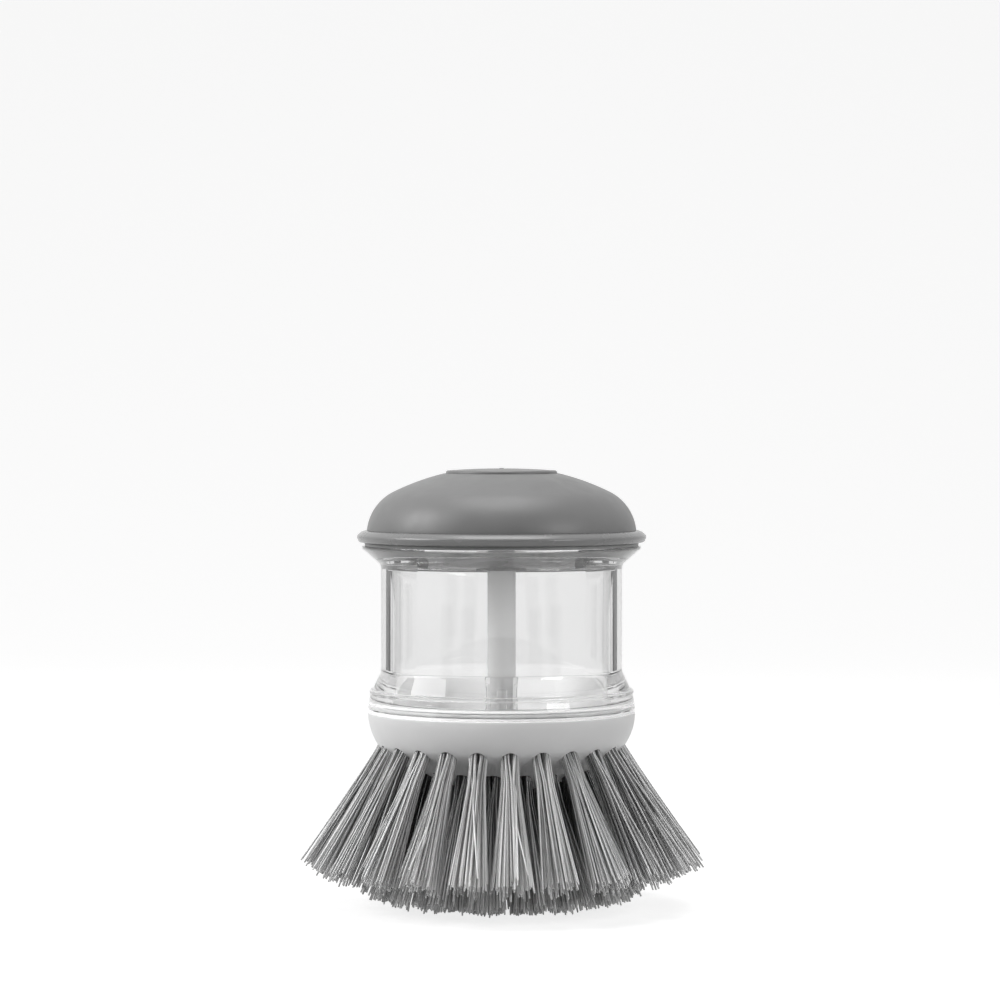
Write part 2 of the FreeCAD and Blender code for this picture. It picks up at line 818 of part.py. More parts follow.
for thing in doc.Objects:
    if "Invalid" in thing.State or "Error" in thing.State:
        raise RuntimeError(f"{thing.Label} failed: {thing.State}")
for piece in pieces:
    if piece.Shape.isNull() or not piece.Shape.isValid():
        raise RuntimeError(f"{piece.Label} has no valid shape")

os.makedirs("parts", exist_ok=True)
for piece in pieces:
    piece.Shape.exportStep(f"parts/{piece.Label}.step")
    box = piece.Shape.BoundBox
    print(piece.Label, len(piece.Shape.Solids), round(piece.Shape.Volume, 1),
          [round(value, 2) for value in (box.XMin, box.XMax, box.YMin, box.YMax, box.ZMin, box.ZMax)])
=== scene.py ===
"""Looks of the palm brush: moulded plastics, a clear reservoir and filament bristles on the CAD frame."""

import logging
import random
from dataclasses import dataclass
from enum import Enum
from math import acos, asin, atan2, copysign, cos, degrees, pi, radians, sin, sqrt, tau
from typing import Callable, NamedTuple, Sequence

import bmesh
import bpy
import numpy as np
from mathutils import Euler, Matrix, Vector


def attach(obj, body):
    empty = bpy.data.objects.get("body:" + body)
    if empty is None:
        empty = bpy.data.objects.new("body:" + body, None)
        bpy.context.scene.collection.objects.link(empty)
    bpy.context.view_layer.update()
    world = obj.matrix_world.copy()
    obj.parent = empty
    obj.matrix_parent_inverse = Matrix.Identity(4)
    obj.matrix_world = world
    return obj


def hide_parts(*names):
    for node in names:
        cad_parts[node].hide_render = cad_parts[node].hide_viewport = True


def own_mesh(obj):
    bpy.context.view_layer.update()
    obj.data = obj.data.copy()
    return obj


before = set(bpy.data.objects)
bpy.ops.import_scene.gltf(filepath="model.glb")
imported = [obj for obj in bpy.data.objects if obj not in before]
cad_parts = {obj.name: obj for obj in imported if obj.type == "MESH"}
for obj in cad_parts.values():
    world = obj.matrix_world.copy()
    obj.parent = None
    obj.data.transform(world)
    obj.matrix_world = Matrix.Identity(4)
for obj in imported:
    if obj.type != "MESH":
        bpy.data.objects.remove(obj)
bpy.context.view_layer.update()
MM = 0.001
SMOOTH_ANGLE = 40.0
LOG = logging.getLogger("palm_brush")
Piece = bpy.types.Object
Socket = bpy.types.NodeSocket
Material = bpy.types.Material


class Body(Enum):
    """The CAD bodies that the pieces ride on."""

    BRUSH = "brush"
    MOUTH_SEAL = "mouth_seal"
    KNOB = "knob"
    PLUNGER = "plunger"


class Slot(Enum):
    """The material slots of the record."""

    GRIP = "grey_grip"
    RIM = "grey_rim"
    ROD = "grey_rod"
    CLEAR = "clear_plastic"
    WHITE = "white_plastic"
    SILICONE = "silicone"
    STEEL = "spring_steel"
    BRISTLE = "bristle"


class Joining(Enum):
    """Ways in which one solid changes another."""

    CUT = "DIFFERENCE"
    WELD = "UNION"


class SeenBy(Enum):
    """What shows a card of the studio."""

    CLEAR = "clear pieces"
    GLOSS = "glossy pieces"


def grey(level: float) -> tuple[float, float, float, float]:
    """A neutral linear colour for a shader, from its brightness on a screen, 0 to 1."""
    linear = level / 12.92 if level <= 0.04045 else ((level + 0.055) / 1.055) ** 2.4
    return linear, linear, linear, 1.0


def hold(*pieces: Piece) -> None:
    """Select some pieces and nothing else.

    Args:
        pieces: The pieces, of which the first becomes active.
    """
    bpy.ops.object.select_all(action="DESELECT")
    for piece in pieces:
        piece.select_set(True)
    if pieces:
        bpy.context.view_layer.objects.active = pieces[0]


def edit_mode() -> None:
    """Work on the mesh of the active piece."""
    bpy.ops.object.mode_set(mode="EDIT")


def object_mode() -> None:
    """Leave the mesh and work on whole pieces."""
    bpy.ops.object.mode_set(mode="OBJECT")


def select_mesh() -> None:
    """Select all of the mesh in edit mode."""
    bpy.ops.mesh.select_all(action="SELECT")


class Wiring:
    """The nodes of a material or of the world."""

    def __init__(self, tree: bpy.types.NodeTree) -> None:
        """Take up a node tree."""
        self.tree = tree

    def first(self, kind: str) -> bpy.types.Node:
        """The tree's own node of a type."""
        return next(node for node in self.tree.nodes if node.type == kind)

    def plug(self, node: bpy.types.Node, **inputs: object) -> None:
        """Set inputs of a node.

        Args:
            node: The node.
            inputs: Socket names, with underscores for spaces, and a constant or a socket to link from.
        """
        for name, value in inputs.items():
            socket = node.inputs[name.replace("_", " ")]
            if isinstance(value, Socket):
                self.tree.links.new(value, socket)
            else:
                socket.default_value = value

    def node(self, kind: str, **inputs: object) -> bpy.types.Node:
        """Add a node.

        Args:
            kind: Its type without the word ShaderNode.
            inputs: Its inputs, as plug takes them.

        Returns:
            The new node.
        """
        node = self.tree.nodes.new(f"ShaderNode{kind}")
        self.plug(node, **inputs)
        return node

    def seen(self) -> Socket:
        """Tell the rays that show a surface from those that only light something.

        Returns:
            1 for camera, glossy and transmission rays, and otherwise 0.
        """
        path = self.node("LightPath")
        seen = path.outputs["Is Camera Ray"]
        for name in ("Is Glossy Ray", "Is Transmission Ray"):
            either = self.node("Math")
            either.operation = "MAXIMUM"
            self.tree.links.new(seen, either.inputs[0])
            self.tree.links.new(path.outputs[name], either.inputs[1])
            seen = either.outputs[0]
        return seen


class NodeSheet(Wiring):
    """A material's nodes around one Principled shader."""

    noise_low: float = 0.3
    noise_high: float = 0.7

    def __init__(self, name: str) -> None:
        """Start an empty material.

        Args:
            name: Name of the material.
        """
        self.material = bpy.data.materials.new(name)
        self.material.use_nodes = True
        super().__init__(self.material.node_tree)
        self.shader = self.first("BSDF_PRINCIPLED")
        self.coords = self.node("TexCoord").outputs["Object"]

    def fill(self, **inputs: object) -> None:
        """Set inputs of the shader, as plug does."""
        self.plug(self.shader, **inputs)

    def noise(self, scale: float, detail: float = 3.0, stretch: Sequence[float] = (1, 1, 1)) -> Socket:
        """Noise over the piece.

        Args:
            scale: Blotches in a metre.
            detail: Number of finer layers.
            stretch: Scale along each axis.

        Returns:
            The noise as a number from 0 to 1.
        """
        place = self.node("Mapping", Vector=self.coords, Scale=stretch)
        texture = self.node("TexNoise", Vector=place.outputs["Vector"], Scale=scale, Detail=detail)
        return texture.outputs["Fac"]

    def between(self, source: Socket, low: float = 0.0, high: float = 1.0) -> Socket:
        """Spread the middle of a noise over a range."""
        limits = {"From_Min": self.noise_low, "From_Max": self.noise_high, "To_Min": low, "To_Max": high}
        return self.node("MapRange", Value=source, **limits).outputs["Result"]

    def shade(self, source: Socket, dark: float, light: float) -> None:
        """Colour the surface between two greys.

        Args:
            source: The share of the light grey.
            dark: Grey at 0.
            light: Grey at 1.
        """
        mix = self.node("Mix")
        mix.data_type = "RGBA"
        self.plug(mix, Factor=source, A=grey(dark), B=grey(light))
        self.fill(Base_Color=mix.outputs["Result"])

    def relief(self, source: Socket, depth: float, strength: float) -> None:
        """Give the surface a fine relief, with its depth in metres and the share of it that shows."""
        bump = self.node("Bump", Height=source, Distance=depth, Strength=strength)
        self.fill(Normal=bump.outputs["Normal"])


@dataclass(frozen=True)
class MouldedPlastic:
    """Opaque plastic from a mould: two close shades, a fine grain and uneven gloss."""

    name: str
    light: float
    dark: float
    gloss: tuple[float, float]
    grain: float = 2600.0
    grain_depth: float = 0.00002
    depth_of_light: float = 0.0
    blotches: float = 110.0
    gloss_patches: float = 240.0
    grain_shown: float = 0.35

    def material(self) -> Material:
        """Make the material.

        Returns:
            The finished material.
        """
        sheet = NodeSheet(self.name)
        sheet.shade(sheet.between(sheet.noise(self.blotches, 4.0)), self.dark, self.light)
        sheet.fill(Roughness=sheet.between(sheet.noise(self.gloss_patches), *self.gloss), IOR=1.5)
        sheet.relief(sheet.noise(self.grain, 2.0), self.grain_depth, self.grain_shown)
        if self.depth_of_light:
            sheet.fill(Subsurface_Weight=self.depth_of_light, Subsurface_Scale=0.002)
            sheet.fill(Subsurface_Radius=(1.0, 1.0, 1.0))
        return sheet.material


@dataclass(frozen=True)
class ClearPlastic:
    """Clear polished plastic with the slight waves that moulding leaves, greyer where it is thick."""

    name: str
    tint: float
    index: float
    thickness_loss: float
    waves: float = 55.0
    wave_depth: float = 0.0002
    wave_shown: float = 0.12
    haze: float = 0.03

    def material(self) -> Material:
        """Make the material.

        Returns:
            The finished material.
        """
        sheet = NodeSheet(self.name)
        sheet.fill(Base_Color=grey(self.tint), Transmission_Weight=1.0, IOR=self.index)
        sheet.fill(Roughness=sheet.between(sheet.noise(160.0), 0.0, self.haze))
        sheet.relief(sheet.noise(self.waves, 1.0, (1.0, 1.0, 0.3)), self.wave_depth, self.wave_shown)
        depth = sheet.node("VolumeAbsorption", Color=grey(0.5), Density=self.thickness_loss)
        sheet.plug(sheet.first("OUTPUT_MATERIAL"), Volume=depth.outputs["Volume"])
        return sheet.material


@dataclass(frozen=True)
class SoftSilicone:
    """Milky soft plastic of seals and sleeves."""

    name: str
    light: float
    dark: float
    clearness: float
    gloss: tuple[float, float]
    clouds: float = 300.0
    patches: float = 500.0
    grain: float = 1800.0

    def material(self) -> Material:
        """Make the material.

        Returns:
            The finished material.
        """
        sheet = NodeSheet(self.name)
        sheet.shade(sheet.between(sheet.noise(self.clouds)), self.dark, self.light)
        sheet.fill(Roughness=sheet.between(sheet.noise(self.patches), *self.gloss))
        sheet.relief(sheet.noise(self.grain, 2.0), 0.00002, 0.3)
        sheet.fill(Transmission_Weight=self.clearness, IOR=1.41)
        return sheet.material


@dataclass(frozen=True)
class DrawnMetal:
    """Metal wire or strip with fine drawing marks."""

    name: str
    light: float
    dark: float
    gloss: tuple[float, float]
    marks: float = 1500.0
    grain: float = 3000.0

    def material(self) -> Material:
        """Make the material.

        Returns:
            The finished material.
        """
        sheet = NodeSheet(self.name)
        marks = sheet.between(sheet.noise(self.marks, 4.0, (1.0, 1.0, 0.2)))
        sheet.shade(marks, self.dark, self.light)
        sheet.fill(Roughness=sheet.between(marks, *self.gloss), Metallic=1.0)
        sheet.relief(sheet.noise(self.grain, 2.0), 0.00001, 0.2)
        return sheet.material


@dataclass(frozen=True)
class NylonFilament:
    """Filaments of slightly different greys, each a little paler at its cut end, and darker near the roots
    where a ring carries painted shade.
    """

    name: str
    light: float
    dark: float
    gloss: tuple[float, float]
    patches: float = 900.0
    grain: float = 5000.0

    def material(self) -> Material:
        """Make the material.

        Returns:
            The finished material.
        """
        sheet = NodeSheet(self.name)
        strand = sheet.node("Attribute")
        strand.attribute_name = "shade"
        sheet.shade(strand.outputs["Fac"], self.dark, self.light)
        sheet.fill(Roughness=sheet.between(sheet.noise(self.patches, 2.0), *self.gloss))
        sheet.relief(sheet.noise(self.grain, 1.0), 0.00001, 0.15)
        sheet.fill(IOR=1.53, Specular_IOR_Level=0.9, Coat_Weight=0.7, Coat_Roughness=0.12)
        return sheet.material


@dataclass(frozen=True)
class StudioPaper:
    """Matt paper of the studio: a floor that shows pale in reflections, or a dark card."""

    name: str
    light: float
    dark: float
    glow: float = 0.0

    def material(self) -> Material:
        """Make the material.

        Returns:
            The finished material.
        """
        sheet = NodeSheet(self.name)
        sheet.shade(sheet.between(sheet.noise(3.0)), self.dark, self.light)
        sheet.fill(Roughness=0.9, Specular_IOR_Level=0.1)
        if self.glow:
            strength = sheet.node("MapRange", Value=sheet.seen(), To_Max=self.glow)
            sheet.fill(Emission_Color=grey(1.0), Emission_Strength=strength.outputs["Result"])
        return sheet.material


class Corner(NamedTuple):
    """A corner of a half section: distance from the axis, height and rounding, in millimetres."""

    r: float
    z: float
    round: float = 0.0


def corners(*rows: Sequence[float]) -> list[Corner]:
    """The corners of a half section, from rows of distance, height and rounding."""
    return [Corner(*row) for row in rows]


def arc(centre: Corner, radius: float, first: float, last: float, count: int) -> list[Corner]:
    """Points along an arc of a half section, from a first to a last angle above the level, in degrees."""
    turns = [radians(first + (last - first) * n / (count - 1)) for n in range(count)]
    return [Corner(centre.r + radius * cos(t), centre.z + radius * sin(t)) for t in turns]


def bead(middle: Corner, radius: float) -> list[Corner]:
    """Points all round the section of a ring seal."""
    return arc(middle, radius, 0.0, 330.0, 12)


def pick(piece: Piece, test: Callable[[Vector], bool]) -> None:
    """Select the points of a piece in edit mode by their place.

    Args:
        piece: The piece in edit mode.
        test: Says of a place whether its point is selected.
    """
    bpy.ops.mesh.select_mode(type="VERT")
    bpy.ops.mesh.select_all(action="DESELECT")
    mesh = bmesh.from_edit_mesh(piece.data)
    for point in mesh.verts:
        point.select = test(point.co)
    mesh.select_flush_mode()
    bmesh.update_edit_mesh(piece.data)


@dataclass
class Workbench:
    """Modelling steps that several pieces share, with the divisions of a turn and the lock's angles."""

    steps: int = 144
    rounding_steps: int = 4
    lug_steps: int = 10
    lug_angle: float = 26.0
    lug_places: tuple[float, ...] = (90.0, 210.0, 330.0)

    def begin(self, name: str) -> Piece:
        """Start a piece from one point at the origin, in edit mode.

        Args:
            name: Name of the piece.

        Returns:
            The piece in edit mode.
        """
        hold()
        bpy.ops.mesh.primitive_plane_add(size=MM)
        piece = bpy.context.object
        piece.name = name
        piece.data.name = name
        edit_mode()
        select_mesh()
        bpy.ops.mesh.merge(type="CENTER")
        return piece

    def draw(self, piece: Piece, corners: Sequence[Corner], closed: bool) -> None:
        """Extrude the half section from corner to corner and round the corners that ask for it.

        Args:
            piece: The piece in edit mode, one point at the origin.
            corners: The section's corners in order.
            closed: Whether the last corner joins the first.
        """
        route = list(corners) + [corners[0]] if closed else list(corners)
        bpy.ops.transform.translate(value=(route[0].r * MM, 0, route[0].z * MM))
        for here, there in zip(route, route[1:]):
            step = ((there.r - here.r) * MM, 0, (there.z - here.z) * MM)
            bpy.ops.mesh.extrude_region_move(TRANSFORM_OT_translate={"value": step})
        select_mesh()
        bpy.ops.mesh.remove_doubles(threshold=1e-7)
        for size in sorted({corner.round for corner in corners if corner.round}):
            spots = [Vector((c.r * MM, 0, c.z * MM)) for c in corners if c.round == size]
            pick(piece, lambda place: any((place - spot).length < 1e-6 for spot in spots))
            bpy.ops.mesh.bevel(offset=size * MM, segments=self.rounding_steps, affect="VERTICES")

    def close_up(self, piece: Piece, smooth: float = SMOOTH_ANGLE) -> Piece:
        """Merge seams, turn the faces outwards and leave edit mode.

        Args:
            piece: The piece in edit mode.
            smooth: Edges flatter than this angle look smooth.

        Returns:
            The piece in object mode.
        """
        select_mesh()
        bpy.ops.mesh.remove_doubles(threshold=1e-6)
        bpy.ops.mesh.normals_make_consistent(inside=False)
        object_mode()
        bpy.ops.object.shade_smooth_by_angle(angle=radians(smooth))
        return piece

    def turn(self, name: str, corners: Sequence[Corner], closed: bool = True) -> Piece:
        """Spin a half section about the axis.

        Args:
            name: Name of the piece.
            corners: The half section in millimetres.
            closed: False where the section starts and ends on the axis.

        Returns:
            The finished round piece.
        """
        piece = self.begin(name)
        self.draw(piece, corners, closed)
        select_mesh()
        bpy.ops.mesh.spin(
            steps=self.steps, angle=tau, center=(0, 0, 0), axis=(0, 0, 1), use_auto_merge=True)
        return self.close_up(piece)

    def lugs(self, name: str, corners: Sequence[Corner]) -> Piece:
        """The short lugs of the turning lock, spun from a section.

        Args:
            name: Name of the piece.
            corners: Section of one lug.

        Returns:
            One piece that holds all the lugs.
        """
        parts = []
        for number, place in enumerate(self.lug_places):
            lug = self.begin(f"{name}_{number}")
            self.draw(lug, corners, True)
            select_mesh()
            bpy.ops.mesh.edge_face_add()
            bpy.ops.mesh.spin(
                steps=self.lug_steps, angle=radians(self.lug_angle), center=(0, 0, 0), axis=(0, 0, 1))
            select_mesh()
            bpy.ops.mesh.fill_holes(sides=0)
            self.close_up(lug)
            span = [atan2(point.co.y, point.co.x) for point in lug.data.vertices]
            lug.rotation_euler = (0, 0, radians(place) - (max(span) + min(span)) / 2)
            bpy.ops.object.transform_apply(rotation=True)
            parts.append(lug)
        hold(*parts)
        bpy.ops.object.join()
        return parts[0]

    def combine(self, piece: Piece, tool: Piece, way: Joining) -> None:
        """Change a piece by another solid, which is used up.

        Args:
            piece: The piece that stays.
            tool: The solid that is cut away or welded on.
            way: What is done with it.
        """
        step = piece.modifiers.new("combine", "BOOLEAN")
        step.operation = way.value
        step.solver = "EXACT"
        step.object = tool
        hold(piece)
        bpy.ops.object.modifier_apply(modifier=step.name)
        bpy.data.objects.remove(tool)
        bpy.ops.object.shade_smooth_by_angle(angle=radians(SMOOTH_ANGLE))

    def pins(
        self, places: Sequence[tuple[Vector, Euler]], radius: float, length: float, sides: int
    ) -> Piece:
        """One solid of equal pins, to cut holes with.

        Args:
            places: The middle of each pin in millimetres, and its turn.
            radius: Radius in millimetres.
            length: Length in millimetres.
            sides: Number of sides.

        Returns:
            The solid that holds all the pins.
        """
        hold()
        for middle, facing in places:
            bpy.ops.mesh.primitive_cylinder_add(
                vertices=sides, radius=radius * MM, depth=length * MM,
                location=middle * MM, rotation=facing)
            if bpy.context.object.mode == "OBJECT":
                tool = bpy.context.object
                bpy.ops.object.transform_apply(location=True, rotation=True)
                edit_mode()
        object_mode()
        return tool


def dress(piece: Piece, finish: Material, slot: Slot, body: Body, *nodes: str) -> None:
    """Give a piece its finish and its place in the frame.

    Args:
        piece: The finished mesh.
        finish: Its material.
        slot: The record's slot that the finish stands for; not used.
        body: The body that it rides on.
        nodes: The CAD nodes that it stands for.
    """
    piece.data.materials.clear()
    piece.data.materials.append(finish)
    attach(piece, body.value)
    if nodes:
        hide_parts(*nodes)
    LOG.info("%s: %d faces on %s", piece.name, len(piece.data.polygons), body.value)


def repaint(node: str, finish: Material) -> None:
    """Give a CAD node that stays in view a better finish.

    Args:
        node: Name of the node.
        finish: The material.
    """
    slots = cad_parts[node].data.materials
    slots.clear()
    slots.append(finish)
    LOG.info("%s keeps its CAD shape", node)


@dataclass(frozen=True)
class Finishes:
    """The materials of the whole brush."""

    grip: Material
    rim: Material
    rod: Material
    clear: Material
    white: Material
    silicone: Material
    gasket: Material
    sleeve: Material
    steel: Material
    anchor: Material
    bristle: Material

    @classmethod
    def mix(cls) -> "Finishes":
        """Make every material once."""
        return cls(
            grip=MouldedPlastic("satin_grey_grip", 0.49, 0.47, (0.38, 0.48), 3200.0, 0.00003).material(),
            rim=MouldedPlastic("smooth_grey_rim", 0.52, 0.50, (0.2, 0.3)).material(),
            rod=MouldedPlastic("plain_grey_rod", 0.77, 0.74, (0.3, 0.42)).material(),
            clear=ClearPlastic("clear_polished_plastic", 0.985, 1.49, 42.0).material(),
            white=MouldedPlastic(
                "white_moulded_plastic", 0.93, 0.915, (0.32, 0.44), depth_of_light=0.15).material(),
            silicone=SoftSilicone("milky_silicone", 0.92, 0.86, 0.35, (0.3, 0.45)).material(),
            gasket=SoftSilicone("grey_silicone", 0.62, 0.58, 0.0, (0.35, 0.5)).material(),
            sleeve=SoftSilicone("clear_silicone", 0.97, 0.93, 0.95, (0.04, 0.12)).material(),
            steel=DrawnMetal("spring_wire", 0.75, 0.6, (0.2, 0.35)).material(),
            anchor=DrawnMetal("anchor_strip", 0.7, 0.55, (0.3, 0.5)).material(),
            bristle=NylonFilament("grey_nylon", 0.97, 0.36, (0.16, 0.26)).material(),
        )


@dataclass
class Assembly:
    """A sub-assembly, with the modelling steps and the materials that make it."""

    bench: Workbench
    finishes: Finishes


@dataclass
class Reservoir(Assembly):
    """The clear spool-shaped tube with its lock catches, and the flat seal on its mouth."""

    base: float = 37.5
    base_radius: float = 25.5
    skirt_bore: float = 23.25
    step: float = 1.65
    belt_radius: float = 24.9
    belt_height: float = 3.9
    bead_radius: float = 0.55
    bead_inset: float = 0.2
    bead_arc: tuple[float, float] = (-50.0, 100.0)
    bulge_height: float = 7.9
    waist_radius: float = 23.0
    bore: float = 21.0
    flare_low: float = 28.1
    flare_high: float = 31.2
    height: float = 31.7
    mouth_radius: float = 26.6
    catch_reach: float = 20.35
    catch_root: float = 22.0
    catch_low: float = 67.7
    catch_high: float = 68.5
    gasket_bore: float = 21.5
    gasket_radius: float = 26.1
    gasket_top: float = 69.9
    gasket_bed: float = 0.05

    def section(self) -> list[Corner]:
        """The tube's half section.

        Returns:
            The corners from the foot round the outside and back down the bore.
        """
        inset = self.base_radius - self.belt_radius
        radius = (self.belt_height ** 2 + inset ** 2) / (2 * inset)
        last = degrees(asin(self.belt_height / radius))
        belt = arc(Corner(self.base_radius - radius, self.base), radius, 0.0, last, 8)
        edge = Corner(self.belt_radius - self.bead_inset, self.base + self.belt_height)
        belt[-1:] = arc(edge, self.bead_radius, *self.bead_arc, 10)
        return corners(
            (self.skirt_bore, self.base, 0.15), *belt,
            (self.waist_radius, self.base + self.bulge_height, 0.5),
            (self.waist_radius, self.base + self.flare_low, 0.8),
            (self.mouth_radius, self.base + self.flare_high, 0.2),
            (self.mouth_radius, self.base + self.height, 0.12),
            (self.bore, self.base + self.height, 0.3), (self.bore, self.base + self.step, 0.3),
            (self.skirt_bore, self.base + self.step),
        )

    def build(self) -> None:
        """Model and dress the tube and its seal."""
        tube = self.bench.turn("clear_reservoir", self.section())
        catch = corners(
            (self.catch_reach, self.catch_low), (self.catch_root, self.catch_low),
            (self.catch_root, self.catch_high), (self.catch_reach, self.catch_high),
        )
        self.bench.combine(tube, self.bench.lugs("catches", catch), Joining.WELD)
        tube.visible_shadow = False
        dress(tube, self.finishes.clear, Slot.CLEAR, Body.BRUSH, "reservoir")
        low = self.base + self.height - self.gasket_bed
        seal = corners(
            (self.gasket_bore, low, 0.2), (self.gasket_radius, low, 0.2),
            (self.gasket_radius, self.gasket_top, 0.2), (self.gasket_bore, self.gasket_top, 0.2),
        )
        gasket = self.bench.turn("mouth_gasket", seal)
        dress(gasket, self.finishes.gasket, Slot.SILICONE, Body.MOUTH_SEAL, "lid_gasket")


@dataclass(frozen=True)
class TuftRing:
    """One ring of tufts: where its holes are and how its filaments fan out, in millimetres."""

    name: str
    count: int
    radius: float
    lean: float
    tip_radius: float
    tip_height: float
    filaments: int
    # painted shade: how far this ring's filaments are darkened towards their roots, where shade falls under
    # the bowl
    painted_root_shade: float


@dataclass
class BrushHead(Assembly):
    """The white bowl with its tuft holes, and the bristles."""

    ledge: float = 37.5
    depth: float = 15.1
    base_radius: float = 25.5
    shoulder_radius: float = 23.3
    cap_radius: float = 36.087
    spigot: float = 23.3
    spigot_top: float = 39.2
    groove: float = 22.55
    groove_low: float = 37.9
    groove_high: float = 38.8
    seal_radius: float = 0.375
    seal_shift: float = 0.025
    bowl: float = 20.6
    floor: float = 32.2
    floor_radius: float = 15.6
    slope: float = 6.4
    seat_bore: float = 4.7
    seat_floor: float = 28.2
    outlet: float = 3.7
    bush_bore: float = 3.3
    bush_radius: float = 4.6
    bush_flange: float = 6.2
    bush_top: float = 33.4
    hole_radius: float = 1.65
    hole_depth: float = 4.998
    hole_overrun: float = 2.0
    hole_sides: int = 20
    turn: float = 4.0
    strand_radius: float = 0.175
    strand_sides: int = 5
    strand_end: float = 0.7
    root_radius: float = 1.3
    root_depth: float = 3.2
    fold: float = 0.8
    stations: tuple[float, ...] = (0.2, 0.45, 0.72)
    end_length: float = 0.12
    golden_angle: float = 2.39996
    lean_error: float = 0.012
    sway_error: float = 0.016
    spread_error: tuple[float, float] = (0.9, 1.06)
    fan_error: tuple[float, float] = (0.82, 1.05)
    fan_power: float = 0.85
    swing_error: float = 0.16
    bow_error: float = 0.07
    cut_error: tuple[float, float] = (0.3, 0.55)
    longest: float = 1.3
    stray_share: float = 0.07
    stray_reach: float = 1.25
    stray_swing: float = 1.3
    stray_short: float = 1.6
    tuft_shade: float = 0.1
    strand_shade: tuple[float, float] = (0.55, 0.3)
    # painted shade: the share of a ring's root darkening at each station along a filament, full at the root
    painted_shade_fade: tuple[float, ...] = (1.0, 1.0, 0.8, 0.4, 0.1, 0.0, 0.0)
    tip_fade: tuple[float, ...] = (0.0, 0.0, 0.0, 0.02, 0.08, 0.16, 0.2)
    clumps: int = 7
    clumping: float = 0.75
    slit: float = 0.36
    slit_length: float = 5.0
    ground: float = 0.2
    rings: tuple[TuftRing, ...] = (
        # the last number is painted shade at the roots: none on the outer ring, dark on the middle and inner
        # rings
        TuftRing("outer", 24, 22.6, 28.5, 4.2, 7.8, 66, 0.0),
        TuftRing("middle", 18, 15.82, 18.0, 4.6, 2.8, 60, -0.7),
        TuftRing("inner", 10, 9.198, 8.0, 3.7, 0.0, 56, -0.7),
    )

    def cap(self, radius: float) -> float:
        """Height of the domed underside at a radius."""
        return self.ledge - self.depth + self.cap_radius - sqrt(self.cap_radius ** 2 - radius ** 2)

    def section(self) -> list[Corner]:
        """The bowl's half section.

        Returns:
            The corners from the outlet round the outside and back through the bowl.
        """
        centre = Corner(0.0, self.ledge - self.depth + self.cap_radius)
        first = -degrees(acos(self.outlet / self.cap_radius))
        last = -degrees(acos(self.shoulder_radius / self.cap_radius))
        under = arc(centre, self.cap_radius, first, last, 24)
        low = self.cap(self.shoulder_radius)
        under[-1] = Corner(self.shoulder_radius, low, 0.5)
        rise, inset = self.ledge - low, self.base_radius - self.shoulder_radius
        radius = (rise ** 2 + inset ** 2) / (2 * inset)
        spread = degrees(asin(rise / radius))
        side = arc(Corner(self.base_radius - radius, self.ledge), radius, -spread, 0.0, 12)[1:]
        side[-1] = Corner(self.base_radius, self.ledge, 0.2)
        return corners(
            *under, *side, (self.spigot, self.ledge), (self.spigot, self.groove_low),
            (self.groove, self.groove_low), (self.groove, self.groove_high),
            (self.spigot, self.groove_high), (self.spigot, self.spigot_top, 0.25),
            (self.bowl, self.spigot_top, 0.25), (self.bowl, self.floor + self.slope, 0.3),
            (self.floor_radius, self.floor, 0.8), (self.seat_bore, self.floor),
            (self.seat_bore, self.seat_floor), (self.outlet, self.seat_floor),
        )

    def axes(self, ring: TuftRing, number: int) -> tuple[Vector, Vector, Vector, Vector]:
        """The place and directions of one tuft.

        Args:
            ring: The tuft's ring.
            number: Its number in the ring.

        Returns:
            The middle of its hole's mouth, then the ways along it, outwards across it and sideways.
        """
        around = radians(self.turn + 360.0 * number / ring.count)
        lean = radians(ring.lean)
        outwards = Vector((cos(around), sin(around), 0))
        up = Vector((0, 0, 1))
        mouth = outwards * ring.radius + up * self.cap(ring.radius)
        along = outwards * sin(lean) - up * cos(lean)
        across = outwards * cos(lean) + up * sin(lean)
        return mouth, along, across, up.cross(outwards)

    def holes(self) -> list[tuple[Vector, Euler]]:
        """Where the pins that cut the tuft holes stand.

        Returns:
            The middle of each pin in millimetres, and its turn.
        """
        found = []
        for ring in self.rings:
            for number in range(ring.count):
                mouth, along, _, _ = self.axes(ring, number)
                facing = Euler((0, pi - radians(ring.lean), atan2(mouth.y, mouth.x)))
                found.append((mouth + along * (self.hole_overrun - self.hole_depth) / 2, facing))
        return found

    def strand(self) -> Piece:
        """One filament, a short rod of rings a unit apart with a narrowed cut end.

        Returns:
            The filament that every other one is copied from.
        """
        hold()
        bpy.ops.mesh.primitive_circle_add(
            vertices=self.strand_sides, radius=self.strand_radius, fill_type="NGON")
        strand = bpy.context.object
        strand.name = "strand"
        edit_mode()
        select_mesh()
        for _ in self.tip_fade[1:]:
            bpy.ops.mesh.extrude_region_move(TRANSFORM_OT_translate={"value": (0, 0, 1)})
        bpy.ops.transform.resize(value=(self.strand_end, self.strand_end, 1.0))
        select_mesh()
        bpy.ops.mesh.normals_make_consistent(inside=False)
        object_mode()
        return strand

